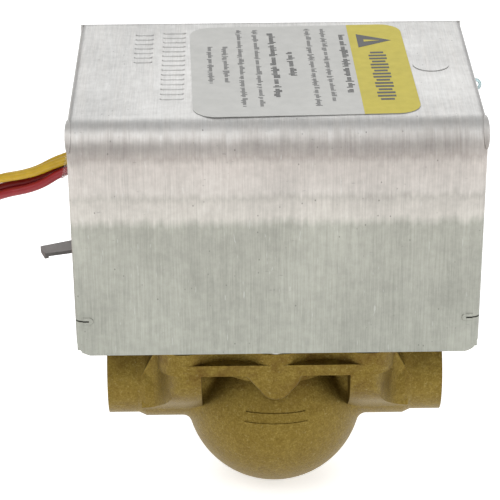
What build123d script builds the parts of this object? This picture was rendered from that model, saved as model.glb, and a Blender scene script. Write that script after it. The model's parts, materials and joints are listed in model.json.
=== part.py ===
from build123d import *
import math
import os

os.makedirs("parts", exist_ok=True)

# Motorised zone valve: a forged brass two-way body with a spring-return powerhead on top.
# Millimetres, +Z up. Every piece is drawn about the middle of the valve body, with the pipe
# axis along X, the manual opener on the -X end and the front towards -Y. On saving it is
# moved so that the origin is the centre of the -X socket's mouth.

# ---- valve body
FACE_TO_FACE = 94.0                      # socket mouth to socket mouth
SOCKET_R, SOCKET_DEPTH = 11.18, 19.0     # sweat socket for 22.2 mm tube
PORT_END_R, PORT_END_L, PORT_RAMP = 13.0, 8.4, 2.2
BARREL_R = 14.0
INLET_R, OUTLET_R = 7.5, 9.0             # waterways behind the sockets
SEAT_X, SEAT_TUBE_R = -12.7, 10.5        # seat face and the tube that carries it
BOWL_R, BOWL_Z, BOWL_WALL, BOWL_BLEND = 25.1, -9.05, 3.0, 3.0
NECK_R, MOUTH_R = 20.4, 17.0
FLANGE_X, FLANGE_Y, FLANGE_R = 65.0, 52.0, 7.0
FLANGE_BASE, FLANGE_TOP = 11.1, 14.4
PAD_X0, PAD_X1, PAD_REACH, PAD_TOE_Y, PAD_TOE_Z, PAD_SLOPE_Z = 20.4, 23.6, 37.5, 11.3, -8.1, 4.0
VEE = [(10.8, 0.0), (6.4, 2.8), (4.4, 5.4), (2.6, 7.4)]   # half width, depth below the flange
VEE_DEPTH, VEE_Y0, VEE_Y1, VEE_ROUND = 8.2, 15.0, 25.4, 0.8
GROOVE_Z, GROOVE_X, RIDGE_Z, RIDGE_X, MARK_W, MARK_D = -1.9, 8.2, -5.1, 8.8, 0.45, 0.22
SEAL_RING_R, SEAL_WIRE_R = 18.8, 0.85

# ---- top plate and its screws
PLATE_TOP = 17.8
SCALLOP_R, SCALLOP_X, SCALLOP_Y, SCALLOP_ROUND = 14.8, 12.9, 37.5, 7.5
PLATE_SCREWS = [(-25.5, -19.0), (25.5, -19.0), (-25.5, 19.0), (25.5, 19.0), (0.0, -22.5), (0.0, 22.5)]
SCREW_HOLE_R, SCREW_SHANK_R, SCREW_HEAD_R, SCREW_HEAD_H, SCREW_BELOW = 2.0, 1.9, 3.4, 2.4, 9.0
HUB_R, POST_R = 6.5, 4.2
POSTS = [(-20.0, 12.4), (20.0, 12.4)]

# ---- stem, arm and ball
STEM_X, STEM_Y, STEM_R = 0.0, 12.361, 3.0
STEM_LOW, STEM_HIGH, STEM_FLAT, STEM_FIT = 9.5, 36.0, 2.2, 0.05
COLLAR_R, COLLAR_LOW, COLLAR_HIGH = 4.5, 12.2, 14.1
ARM_L, ARM_W, ARM_LOW, ARM_HIGH = 14.0, 6.0, 9.8, 11.8
BALL_R, BALL_PIN_R, BALL_PIN_LOW = 9.5, 1.5, -3.0
SWING = 56.0                             # degrees from closed to open
STEM_SEALS_Z, STEM_SEAL_WIRE = (16.6, 21.2), 0.9

# ---- powerhead chassis
FLOOR_LOW, SHEET = 24.2, 1.2
CHASSIS_X, CHASSIS_Y0, CHASSIS_Y1 = 52.0, -35.6, 43.6
END_Y0, END_Y1, END_TOP, END_CORNER_R = -33.0, 41.0, 80.0, 5.0
LEAD_Y, LEAD_Z, BUSHING_HOLE_R = 6.0, 62.3, 5.2
LEVER_SLOT_Y0, LEVER_SLOT_Y1, LEVER_SLOT_LOW, LEVER_SLOT_HIGH = -4.8, 23.6, 37.3, 39.7

# ---- sector gear and pinion
SECTOR_LOW, SECTOR_HIGH, SECTOR_HUB_R, SECTOR_HUB_LOW, SECTOR_HUB_HIGH = 30.0, 32.0, 6.0, 25.6, 34.2
DRIVE_MODULE, SECTOR_TEETH, DRIVE_PINION_TEETH = 0.8, 64, 10
SECTOR_START, SECTOR_TOOTH_COUNT = -88.0, 15
PINION_ANGLE = -22.0                     # direction from the stem to the output shaft
CAM_ANGLE, CAM_R0, CAM_RISE, CAM_MARGIN = -115.0, 16.0, 1.2, 5.0
LUG_ANGLE, LUG_R, LUG_W = 170.0, 14.5, 5.6
DRIVE_POST_R, DRIVE_POST_TOP = 2.0, 39.5
CLIP_Z, CLIP_T = 34.3, 0.8

# ---- motor, gearcase and reduction train
MOTOR_X, MOTOR_Y, MOTOR_R = 23.5, -9.5, 25.0
BRACKET_LOW = 40.0
CASE_LOW, CASE_HIGH, CASE_WALL = 41.2, 53.2, 1.2
CAN_HIGH, CAN_WALL = 70.0, 0.8
TRAIN_MODULE, TRAIN_WHEEL, TRAIN_PINION = 0.5, 36, 10
TRAIN_BEND = 107.0                       # rhombus angle between the train's first two legs
TRAIN_LAYERS = [(43.0, 45.5), (46.0, 48.5), (49.0, 51.5)]
OUTPUT_SHAFT_R, ROTOR_SHAFT_R, GEAR_PIN_R, SHAFT_FIT = 1.5, 1.0, 0.8, 0.05
ROTOR_R, ROTOR_LOW, ROTOR_HIGH = 8.5, 55.0, 66.0
COIL_R_OUT, COIL_R_IN, COIL_LOW, COIL_HIGH = 23.6, 9.3, 54.2, 67.0

# ---- return spring
ANCHOR_X, ANCHOR_Y, ANCHOR_R, ANCHOR_TOP = -44.0, 38.0, 1.6, 37.4
SPRING_Z, SPRING_COIL_R, SPRING_WIRE_R, SPRING_COILS, SPRING_LEAD_IN = 35.0, 2.1, 0.4, 28, 7.0

# ---- manual opener
LEVER_X, LEVER_Y, LEVER_LOW, LEVER_T, LEVER_W = -30.0, 9.0, 38.0, 1.0, 6.6
LEVER_TIP_ANGLE, LEVER_TIP_L, LEVER_TIP_DROP, LEVER_TIP_W, LEVER_ROOT_W = 199.4, 36.0, 1.9, 5.0, 9.4
LEVER_NOSE_ANGLE, LEVER_NOSE_L, LEVER_HUB_R = 39.6, 24.0, 5.0
LEVER_PIN_R, LEVER_SHOULDER_R, LEVER_PIN_TOP = 1.8, 3.4, 40.4

# ---- end switch, on the cam's radius
SWITCH_R0, SWITCH_R1, SWITCH_T0, SWITCH_T1, SWITCH_LOW, SWITCH_HIGH = 18.0, 33.0, -19.0, 7.0, 27.5, 37.5
PLUNGER_R, PLUNGER_Z, PLUNGER_GAP, PLUNGER_L = 1.2, 31.0, 0.15, 7.0

# ---- cover
COVER_LOW_X0, COVER_LOW_X1, COVER_TOP_X0, COVER_TOP_X1 = -53.2, 53.6, -53.6, 54.0   # the ends lean out
COVER_Y0, COVER_Y1, COVER_TOP, COVER_T = -36.8, 44.8, 89.7, 0.9
COVER_BEND_R, COVER_END_BEND_R, COVER_FLANGE, COVER_CORNER_R, CORNER_OVER = 8.3, 1.8, 8.0, 4.6, 0.1
MITRE_GAP, BULGE_R, BULGE_OUT, BULGE_SUNK = 0.4, 5.0, 0.8, 0.4
CATCH_L, CATCH_H, CATCH_Z, CATCH_PRESS_L, CATCH_PRESS_H, CATCH_PRESS = 3.6, 0.45, 34.55, 4.9, 2.4, 0.3
RIB_H, RIB_W, RIB_PITCH, RIB_SLOPE = 0.22, 1.5, 3.4, 50
RIB_ROWS = [(-26.9, 6.4, -17.5, 15), (-35.2, 5.2, 8.6, 7)]     # x, rib length, first y, how many
ARC_X, ARC_Y, ARC_R = 42.6, 4.6, 4.9
LABEL_X0, LABEL_X1, LABEL_Y0, LABEL_Y1 = -22.0, 37.0, -29.6, 34.5
LABEL_R, LABEL_T, LABEL_TURN = 6.0, 0.15, 1.4
LOOP_X, LOOP_Y, LOOP_Z, LOOP_R, LOOP_WIRE_R, LOOP_FIT = 53.95, -1.8, 86.4, 1.4, 0.45, 0.15

# ---- leads: the bundle's middle, the way its outer side faces (degrees in XZ), and the leads' places
LEAD_R = 1.25
BUNDLE = [((-49.6, 6.0, 63.3), 104.0), ((-58.0, 6.0, 61.2), 112.0), ((-66.0, 6.2, 56.7), 111.0),
          ((-77.5, 7.5, 54.6), 117.0), ((-86.5, 12.5, 46.0), 155.0), ((-87.5, 17.5, 31.0), 186.0),
          ((-82.8, 20.0, 15.7), 180.0)]
LEAD_PLACES = {   # (towards +Y, towards the outer side) at each point of the bundle
    "yellow_lead_front": [(-1.35, 1.35), (-1.35, 1.35), (-1.35, 1.9), (-1.4, 2.2), (-1.5, 1.7), (-1.0, 1.4),
                          (-1.35, 0.0)],
    "yellow_lead_back": [(1.35, 1.35), (1.35, 1.35), (1.35, 1.0), (1.4, 0.9), (1.8, 1.5), (3.0, 1.2),
                         (4.05, 0.0)],
    "red_lead_front": [(-1.35, -1.35), (-1.35, -1.35), (-1.4, -2.4), (-1.6, -2.9), (-1.9, -1.8), (-3.1, -1.1),
                       (-4.05, 0.0)],
    "red_lead_back": [(1.35, -1.35), (1.35, -1.35), (1.4, -1.75), (1.4, -1.9), (1.2, -1.6), (1.1, -1.5),
                      (1.35, 0.0)],
}
BUSHING_TILT, BUSHING_BORE_R, BUSHING_R, BUSHING_REACH = 14.0, 3.65, 4.0, 8.0
BUSHING_END_X, BUSHING_END_Z, BUSHING_END_LEAN = -57.7, 61.0, 12.0   # the snout is cut at a slant
COIL_X, COIL_Y, COIL_Z, COIL_OUT_R, COIL_INNER_R, COIL_W = -102.5, 20.0, 10.0, 22.4, 8.6, 10.8
TIE_T, TIE_W, TIE_HEAD, TIE_FIT = 0.8, 3.0, 4.0, 0.3


def cyl(r, low, high, x=0.0, y=0.0):
    return Pos(x, y, (low + high) / 2) * Cylinder(r, high - low)


def xcyl(r, x0, x1, y=0.0, z=0.0):
    return Pos((x0 + x1) / 2, y, z) * Rot(0, 90, 0) * Cylinder(r, x1 - x0)


def block(x0, x1, y0, y1, z0, z1):
    return Pos((x0 + x1) / 2, (y0 + y1) / 2, (z0 + z1) / 2) * Box(x1 - x0, y1 - y0, z1 - z0)


def slab(sketch, low, high, x=0.0, y=0.0):
    return Pos(x, y, low) * extrude(sketch, amount=high - low)


def group(shapes):
    return Compound([solid for shape in shapes for solid in shape.solids()])


def on_circle(x, y, r, degrees):
    return (x + r * math.cos(math.radians(degrees)), y + r * math.sin(math.radians(degrees)))


def save(node, shape):
    export_step(Pos(FACE_TO_FACE / 2, 0, 0) * shape, f"parts/{node}.step")


# ---------------------------------------------------------------- gears
def involute(base_r, r):
    """Angle swept by an involute of the base circle where it reaches radius r."""
    a = math.acos(min(1.0, base_r / r))
    return math.tan(a) - a


def gear_points(teeth, module, phase, chosen=None, add=0.8, ded=1.05, backlash=0.04):
    """Corner points of stub involute teeth, tooth 0 centred on phase degrees."""
    pitch_r, pressure = teeth * module / 2, math.radians(20)
    base_r, tip_r, root_r = pitch_r * math.cos(pressure), pitch_r + add * module, pitch_r - ded * module
    half = math.pi / (2 * teeth) - backlash * module / pitch_r
    start = max(base_r, root_r)
    points = []
    for k in (range(teeth) if chosen is None else chosen):
        middle = math.radians(phase) + 2 * math.pi * k / teeth
        flank = []
        for s in range(4):
            r = start + (tip_r - start) * s / 3
            flank.append((r, half + involute(base_r, pitch_r) - involute(base_r, r)))
        if root_r < start:
            flank.insert(0, (root_r, flank[0][1]))
        points += [(r, middle - a) for r, a in flank] + [(r, middle + a) for r, a in reversed(flank)]
    return [(r * math.cos(a), r * math.sin(a)) for r, a in points]


def gear(teeth, module, phase, low, high, x, y):
    return slab(make_face(Polyline(*gear_points(teeth, module, phase), close=True)), low, high, x, y)


def meshed_phase(teeth_1, phase_1, teeth_2, direction):
    """Phase of gear 2, which lies at this direction from gear 1, with a gap on gear 1's tooth."""
    q = (phase_1 - direction) * teeth_1 / 360
    return direction + 180 - (q + 0.5) * 360 / teeth_2


TRAIN_DISTANCE = TRAIN_MODULE * (TRAIN_WHEEL + TRAIN_PINION) / 2
DRIVE_DISTANCE = DRIVE_MODULE * (SECTOR_TEETH + DRIVE_PINION_TEETH) / 2
OUTPUT = on_circle(STEM_X, STEM_Y, DRIVE_DISTANCE, PINION_ANGLE)
MOTOR_TO_OUTPUT = math.degrees(math.atan2(OUTPUT[1] - MOTOR_Y, OUTPUT[0] - MOTOR_X))


def train_axes():
    """Axes of the rotor and of gears 1 and 2: each leg is one centre distance long, back from the output."""
    gear_1 = on_circle(MOTOR_X, MOTOR_Y, TRAIN_DISTANCE, MOTOR_TO_OUTPUT + TRAIN_BEND)
    reach = math.hypot(OUTPUT[0] - gear_1[0], OUTPUT[1] - gear_1[1])
    aim = math.degrees(math.atan2(OUTPUT[1] - gear_1[1], OUTPUT[0] - gear_1[0]))
    bend = math.degrees(math.acos(reach / (2 * TRAIN_DISTANCE)))
    gear_2 = on_circle(gear_1[0], gear_1[1], TRAIN_DISTANCE, aim + bend)
    return gear_1, gear_2


GEAR_1, GEAR_2 = train_axes()


def heading(a, b):
    return math.degrees(math.atan2(b[1] - a[1], b[0] - a[0]))


# ---------------------------------------------------------------- valve
def pads():
    """The four webs that run from the flange down to the barrel, two at the front and two at the back."""
    y, low, top = FLANGE_Y / 2, PAD_TOE_Z - 1, FLANGE_TOP
    toe = math.hypot(PAD_TOE_Y, PAD_TOE_Z)
    side = [Line((-y, top), (-y, FLANGE_BASE)),
            Spline((-y, FLANGE_BASE), (-PAD_TOE_Y, PAD_TOE_Z),
                   tangents=[(0, -1), (-PAD_TOE_Z / toe, -PAD_TOE_Y / toe)]),
            Polyline((-PAD_TOE_Y, PAD_TOE_Z), (0, PAD_TOE_Z), (0, top), (-y, top))]
    side = Plane.YZ.offset(-PAD_REACH) * extrude(make_face(side), amount=2 * PAD_REACH)
    plan = [Polyline((PAD_REACH, 0), (PAD_X0, 0), (PAD_X0, -y), (PAD_X1, -y)),
            Spline((PAD_X1, -y), (PAD_REACH, -BARREL_R + 1), tangents=[(1, 0), (1, 0)]),
            Line((PAD_REACH, -BARREL_R + 1), (PAD_REACH, 0))]
    plan = slab(make_face(plan), low, top)
    ends = make_face(Polyline((PAD_X0, low), (PAD_REACH, low), (PAD_REACH, PAD_SLOPE_Z), (FLANGE_X / 2, top),
                              (PAD_X0, top), close=True))
    pad = side & plan & (Plane.XZ * extrude(ends, amount=y))
    half = [pad, mirror(pad, Plane.YZ)]
    return half + [mirror(web, Plane.XZ) for web in half]


def vee(y1):
    """A tongue below the middle of the flange, its front rounded, between the bowl and y1."""
    right = [(x, FLANGE_BASE - drop) for x, drop in VEE]
    points = [(-x, z) for x, z in right] + [(0, FLANGE_BASE - VEE_DEPTH)] + right[::-1]
    x = VEE[0][0]
    edge = [Spline(*points, tangents=[(1, 0), (1, 0)]),
            Polyline((x, FLANGE_BASE), (x, FLANGE_BASE + 1), (-x, FLANGE_BASE + 1), (-x, FLANGE_BASE))]
    tongue = Plane.XZ.offset(VEE_Y0) * extrude(make_face(edge), amount=y1 - VEE_Y0)
    front = [e for e in tongue.faces().sort_by(Axis.Y)[0].edges() if e.center().Z < FLANGE_BASE - 1]
    return fillet(front, VEE_ROUND)


def casting_mark(z, reach, inner, outer):
    """Part of a level ring round the front of the bowl, from inner to outer about its surface."""
    r = math.sqrt(BOWL_R ** 2 - (z - BOWL_Z) ** 2)
    low, high = z - MARK_W / 2, z + MARK_W / 2
    band = cyl(r + outer, low, high) - cyl(r + inner, low, high)
    return band & block(-reach, reach, -BOWL_R - 2, 0, low, high)


def valve_body():
    half, step = FACE_TO_FACE / 2, FACE_TO_FACE / 2 - PORT_END_L
    body = xcyl(BARREL_R, PORT_RAMP - step, step - PORT_RAMP) + Pos(0, 0, BOWL_Z) * Sphere(BOWL_R)
    meeting = [e for e in body.edges() if e.geom_type not in (GeomType.LINE, GeomType.CIRCLE)]
    body = fillet(meeting, BOWL_BLEND)
    body += xcyl(PORT_END_R, -half, half)
    for side in (-1, 1):
        ramp = Cone(BARREL_R, PORT_END_R, PORT_RAMP)
        body += Pos(side * (step - PORT_RAMP / 2), 0, 0) * Rot(0, 90 * side, 0) * ramp
    body += cyl(NECK_R, BOWL_Z, FLANGE_TOP)
    body -= casting_mark(GROOVE_Z, GROOVE_X, -MARK_D, 1.0)
    body += casting_mark(RIDGE_Z, RIDGE_X, -1.0, MARK_D)
    body += slab(RectangleRounded(FLANGE_X, FLANGE_Y, FLANGE_R), FLANGE_BASE, FLANGE_TOP)
    for web in pads():
        body += web
    body += vee(VEE_Y1) + mirror(vee(VEE_Y1), Plane.XZ)
    # inside: chamber, mouth, seat tube, waterways and sockets
    body -= Pos(0, 0, BOWL_Z) * Sphere(BOWL_R - BOWL_WALL)
    body -= cyl(MOUTH_R, BOWL_Z, FLANGE_TOP + 5)
    body += xcyl(SEAT_TUBE_R, -half + SOCKET_DEPTH, SEAT_X) & xcyl(BARREL_R, -half, 0)
    body -= xcyl(INLET_R, -half, SEAT_X + 1)
    body -= xcyl(OUTLET_R, 10, half)
    for side in (-1, 1):
        inner, outer = side * (half - SOCKET_DEPTH), side * (half + 1)
        body -= xcyl(SOCKET_R, min(inner, outer), max(inner, outer))
    body -= seal_groove(FLANGE_TOP - 1.3, FLANGE_TOP + 1)
    for x, y in PLATE_SCREWS:
        body -= cyl(SCREW_HOLE_R, FLANGE_TOP - SCREW_BELOW, FLANGE_TOP + 1, x, y)
    return body


def seal_groove(low, high):
    half = SEAL_WIRE_R + 0.1
    return cyl(SEAL_RING_R + half, low, high) - cyl(SEAL_RING_R - half, low - 1, high + 1)


def body_seal():
    return Pos(0, 0, FLANGE_TOP - SEAL_WIRE_R + 0.4) * Torus(SEAL_RING_R, SEAL_WIRE_R)


def top_plate():
    outline = RectangleRounded(FLANGE_X, FLANGE_Y, FLANGE_R)
    for sx in (-1, 1):
        for sy in (-1, 1):
            outline -= Pos(sx * SCALLOP_X, sy * SCALLOP_Y) * Circle(SCALLOP_R)
    straight = FLANGE_X / 2 - FLANGE_R
    cusps = [v for v in outline.vertices() if abs(v.X) < straight - 1 and abs(abs(v.Y) - FLANGE_Y / 2) < 0.01]
    outline = fillet(cusps, SCALLOP_ROUND)
    plate = slab(outline, FLANGE_TOP, PLATE_TOP) + cyl(HUB_R, FLANGE_TOP, FLOOR_LOW, STEM_X, STEM_Y)
    for x, y in POSTS:
        plate += cyl(POST_R, FLANGE_TOP, FLOOR_LOW, x, y)
    plate -= cyl(STEM_R + STEM_FIT, 0, FLOOR_LOW + 1, STEM_X, STEM_Y)
    for z in STEM_SEALS_Z:
        plate -= cyl(STEM_R + 2 * STEM_SEAL_WIRE, z - 1.0, z + 1.0, STEM_X, STEM_Y)
    for x, y in PLATE_SCREWS:
        plate -= cyl(SCREW_HOLE_R, 0, FLOOR_LOW + 1, x, y)
    for x, y in POSTS:
        plate -= cyl(SCREW_HOLE_R, FLANGE_TOP + 1.5, FLOOR_LOW + 1, x, y)
    return plate - seal_groove(FLANGE_TOP - 1, FLANGE_TOP + 0.45)


def screw(x, y, seat, below):
    """Pan-head screw with a cross recess, its head standing on the seat height."""
    head = fillet(cyl(SCREW_HEAD_R, seat, seat + SCREW_HEAD_H, x, y).edges().group_by(Axis.Z)[-1], 0.9)
    for turn in (0, 90):
        head -= Pos(x, y, seat + SCREW_HEAD_H) * Rot(0, 0, turn) * Box(4.2, 0.9, 2.2)
    return head + cyl(SCREW_SHANK_R, seat - below, seat + 0.3, x, y)


def plate_screws():
    return group([screw(x, y, PLATE_TOP, SCREW_BELOW + PLATE_TOP - FLANGE_TOP - 1) for x, y in PLATE_SCREWS])


def stem():
    shaft = cyl(STEM_R, STEM_LOW, STEM_HIGH, STEM_X, STEM_Y)
    shaft += cyl(COLLAR_R, COLLAR_LOW, COLLAR_HIGH, STEM_X, STEM_Y)
    shaft -= block(STEM_X + STEM_FLAT, STEM_X + 9, STEM_Y - 9, STEM_Y + 9, FLOOR_LOW + SHEET, STEM_HIGH + 1)
    neck = cyl(STEM_R + 1, CLIP_Z - 0.05, CLIP_Z + CLIP_T + 0.05, STEM_X, STEM_Y)
    return shaft - (neck - cyl(STEM_R - 0.7, CLIP_Z - 1, CLIP_Z + 2, STEM_X, STEM_Y))


def stem_seals():
    seal = Torus(STEM_R + STEM_SEAL_WIRE, STEM_SEAL_WIRE - 0.03)
    return group([Pos(STEM_X, STEM_Y, z) * seal for z in STEM_SEALS_Z])


BALL_ANGLE = -90 - SWING / 2             # the swing is shared evenly about the pipe's cross axis
BALL = on_circle(STEM_X, STEM_Y, ARM_L, BALL_ANGLE)


def ball_arm():
    arm = cyl(ARM_W / 2, ARM_LOW, ARM_HIGH, *BALL) + cyl(ARM_W / 2 + 1, ARM_LOW, ARM_HIGH, STEM_X, STEM_Y)
    bar = Pos(STEM_X, STEM_Y, (ARM_LOW + ARM_HIGH) / 2) * Rot(0, 0, BALL_ANGLE) * Pos(ARM_L / 2, 0, 0)
    arm += bar * Box(ARM_L, ARM_W, ARM_HIGH - ARM_LOW)
    arm += cyl(BALL_PIN_R, BALL_PIN_LOW, ARM_LOW, *BALL)
    return arm - cyl(STEM_R, 0, FLANGE_TOP, STEM_X, STEM_Y)


def rubber_ball():
    return Pos(BALL[0], BALL[1], 0) * Sphere(BALL_R) - cyl(BALL_PIN_R, BALL_PIN_LOW, 20, *BALL)


def ring_clip(r_in, r_out, low, thick, x, y, mouth_angle):
    ring = cyl(r_out, low, low + thick, x, y) - cyl(r_in, low - 1, low + 2, x, y)
    mouth = Pos(r_out / 2 + 0.5, 0, 0) * Box(r_out + 1, r_in * 1.3, 4)
    return ring - Pos(x, y, low) * Rot(0, 0, mouth_angle) * mouth


# ---------------------------------------------------------------- powerhead frame
def chassis():
    top = FLOOR_LOW + SHEET
    frame = block(-CHASSIS_X, CHASSIS_X, CHASSIS_Y0, CHASSIS_Y1, FLOOR_LOW, top)
    wall = Pos(0, (END_Y0 + END_Y1) / 2, (FLOOR_LOW + END_TOP) / 2) * Box(
        SHEET, END_Y1 - END_Y0, END_TOP - FLOOR_LOW)
    wall = fillet(wall.edges().filter_by(Axis.X).group_by(Axis.Z)[-1], END_CORNER_R)
    for side in (-1, 1):
        frame += Pos(side * (CHASSIS_X - SHEET / 2), 0, 0) * wall
    frame -= cyl(STEM_R + 0.3, FLOOR_LOW - 1, top + 1, STEM_X, STEM_Y)
    for x, y in POSTS:
        frame -= cyl(SCREW_HOLE_R, FLOOR_LOW - 1, top + 1, x, y)
    frame -= cyl(OUTPUT_SHAFT_R + SHAFT_FIT, FLOOR_LOW - 1, top + 1, *OUTPUT)
    frame -= xcyl(BUSHING_HOLE_R, -CHASSIS_X - 1, 1 - CHASSIS_X + SHEET, LEAD_Y, LEAD_Z)
    frame -= block(-CHASSIS_X - 1, 1 - CHASSIS_X + SHEET, LEVER_SLOT_Y0, LEVER_SLOT_Y1,
                   LEVER_SLOT_LOW, LEVER_SLOT_HIGH)
    return frame


BRACKET_X1, BRACKET_Y0 = 49.6, -34.8
BRACKET_LEG_X0, BRACKET_LEG_X1, BRACKET_LEG_Y0, BRACKET_LEG_Y1, BRACKET_FOOT = 6.0, 42.0, -26.0, 10.0, 7.0
BRACKET_RIVETS, RIVET_R = [(12.0, -31.0), (36.0, -31.0), (45.8, -18.0), (45.8, 4.0)], 1.2


def motor_bracket():
    top, low = BRACKET_LOW + SHEET, FLOOR_LOW + SHEET
    plate = cyl(MOTOR_R, BRACKET_LOW, top, MOTOR_X, MOTOR_Y)
    plate += block(BRACKET_LEG_X0, BRACKET_LEG_X1, BRACKET_Y0, MOTOR_Y, BRACKET_LOW, top)
    plate += block(MOTOR_X, BRACKET_X1, BRACKET_LEG_Y0, BRACKET_LEG_Y1, BRACKET_LOW, top)
    plate += block(BRACKET_LEG_X0, BRACKET_LEG_X1, BRACKET_Y0, BRACKET_Y0 + SHEET, low, top)
    plate += block(BRACKET_X1 - SHEET, BRACKET_X1, BRACKET_LEG_Y0, BRACKET_LEG_Y1, low, top)
    plate += block(BRACKET_LEG_X0, BRACKET_LEG_X1, BRACKET_Y0, BRACKET_Y0 + BRACKET_FOOT, low, low + SHEET)
    plate += block(BRACKET_X1 - BRACKET_FOOT, BRACKET_X1, BRACKET_LEG_Y0, BRACKET_LEG_Y1, low, low + SHEET)
    plate -= cyl(OUTPUT_SHAFT_R + 0.5, low, top + 1, *OUTPUT)
    for x, y in BRACKET_RIVETS:
        plate -= cyl(RIVET_R, low - 1, low + SHEET + 1, x, y)
    return plate


def bracket_rivets():
    low, top = FLOOR_LOW + SHEET, FLOOR_LOW + 2 * SHEET
    return group([cyl(RIVET_R, low, top, x, y) + cyl(2 * RIVET_R, top, top + 1.0, x, y)
                  for x, y in BRACKET_RIVETS])


def chassis_screws():
    return group([screw(x, y, FLOOR_LOW + SHEET, 8.5) for x, y in POSTS])


# ---------------------------------------------------------------- motor and train
def gearcase():
    case = cyl(MOTOR_R, CASE_LOW, CASE_HIGH, MOTOR_X, MOTOR_Y)
    case -= cyl(MOTOR_R - CASE_WALL, CASE_LOW + CASE_WALL, CASE_HIGH - CASE_WALL, MOTOR_X, MOTOR_Y)
    case -= cyl(OUTPUT_SHAFT_R + SHAFT_FIT, CASE_LOW - 1, CASE_LOW + 2, *OUTPUT)
    case -= cyl(ROTOR_SHAFT_R + SHAFT_FIT, CASE_HIGH - 2, CASE_HIGH + 1, MOTOR_X, MOTOR_Y)
    return case


def gear_pins():
    low, high = CASE_LOW + CASE_WALL, CASE_HIGH - CASE_WALL
    return group([cyl(GEAR_PIN_R, low, high, *place) for place in (GEAR_1, GEAR_2)])


def motor_can():
    can = cyl(MOTOR_R, CASE_HIGH, CAN_HIGH, MOTOR_X, MOTOR_Y)
    can = fillet(can.edges().group_by(Axis.Z)[-1], 1.5)
    can -= cyl(MOTOR_R - CAN_WALL, CASE_HIGH - 1, CAN_HIGH - CAN_WALL, MOTOR_X, MOTOR_Y)
    return can - cyl(ROTOR_SHAFT_R + SHAFT_FIT, CASE_HIGH, CAN_HIGH - 0.4, MOTOR_X, MOTOR_Y)


def motor_coil():
    ring = cyl(COIL_R_OUT, COIL_LOW, COIL_HIGH, MOTOR_X, MOTOR_Y)
    return ring - cyl(COIL_R_IN, COIL_LOW - 1, COIL_HIGH + 1, MOTOR_X, MOTOR_Y)


ROTOR_PHASE = 0.0
GEAR_1_PHASE = meshed_phase(TRAIN_PINION, ROTOR_PHASE, TRAIN_WHEEL, heading((MOTOR_X, MOTOR_Y), GEAR_1))
GEAR_2_PHASE = meshed_phase(TRAIN_PINION, GEAR_1_PHASE, TRAIN_WHEEL, heading(GEAR_1, GEAR_2))
WHEEL_3_PHASE = meshed_phase(TRAIN_PINION, GEAR_2_PHASE, TRAIN_WHEEL, heading(GEAR_2, OUTPUT))
SECTOR_PHASE = SECTOR_START + 180 / SECTOR_TEETH
OUTPUT_PHASE = meshed_phase(SECTOR_TEETH, SECTOR_PHASE, DRIVE_PINION_TEETH, PINION_ANGLE)


def rotor():
    low, high = TRAIN_LAYERS[0]
    body = cyl(ROTOR_SHAFT_R, low - 0.4, CAN_HIGH - 0.5, MOTOR_X, MOTOR_Y)
    body += cyl(ROTOR_R, ROTOR_LOW, ROTOR_HIGH, MOTOR_X, MOTOR_Y)
    return body + gear(TRAIN_PINION, TRAIN_MODULE, ROTOR_PHASE, low, high, MOTOR_X, MOTOR_Y)


def train_gear(place, phase, wheel_layer):
    wheel, pinion = TRAIN_LAYERS[wheel_layer], TRAIN_LAYERS[wheel_layer + 1]
    body = gear(TRAIN_WHEEL, TRAIN_MODULE, phase, *wheel, *place)
    body += gear(TRAIN_PINION, TRAIN_MODULE, phase, wheel[1] - 0.2, pinion[1], *place)
    return body - cyl(GEAR_PIN_R + SHAFT_FIT, wheel[0] - 1, pinion[1] + 1, *place)


def output_shaft():
    low, high = TRAIN_LAYERS[2]
    body = cyl(OUTPUT_SHAFT_R, FLOOR_LOW + 0.3, high + 0.3, *OUTPUT)
    body += gear(TRAIN_WHEEL, TRAIN_MODULE, WHEEL_3_PHASE, low, high, *OUTPUT)
    return body + gear(DRIVE_PINION_TEETH, DRIVE_MODULE, OUTPUT_PHASE, SECTOR_LOW - 1, SECTOR_HIGH + 1,
                       *OUTPUT)


# ---------------------------------------------------------------- sector, cam and lug
def sector_gear():
    rim = gear_points(SECTOR_TEETH, DRIVE_MODULE, SECTOR_PHASE, range(SECTOR_TOOTH_COUNT))
    sector = make_face(Polyline((0, 0), *rim, close=True))
    a0 = CAM_ANGLE + CAM_MARGIN
    k = CAM_RISE / math.radians(SWING)
    cam = [(0.0, 0.0)]
    for step in range(34):
        a = a0 - step * 2.0
        r = CAM_R0 + k * math.radians(CAM_ANGLE - a)
        cam.append(on_circle(0, 0, r, a))
    plate = slab(sector, SECTOR_LOW, SECTOR_HIGH) + slab(
        make_face(Polyline(*cam, close=True)), SECTOR_LOW, SECTOR_HIGH)
    lug = Pos(LUG_R / 2, 0) * Rectangle(LUG_R, LUG_W) + Pos(LUG_R, 0) * Circle(LUG_W / 2)
    plate += slab(Rot(0, 0, LUG_ANGLE) * lug, SECTOR_LOW, SECTOR_HIGH)
    plate += cyl(SECTOR_HUB_R, SECTOR_HUB_LOW, SECTOR_HUB_HIGH)
    bore = cyl(STEM_R + STEM_FIT, 0, 60) - block(STEM_FLAT + STEM_FIT, 9, -9, 9, 0, 60)
    return Pos(STEM_X, STEM_Y, 0) * (plate - bore)


DRIVE_POST = on_circle(STEM_X, STEM_Y, LUG_R, LUG_ANGLE)


def drive_post():
    return cyl(DRIVE_POST_R, SECTOR_HIGH, DRIVE_POST_TOP, *DRIVE_POST)


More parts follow.
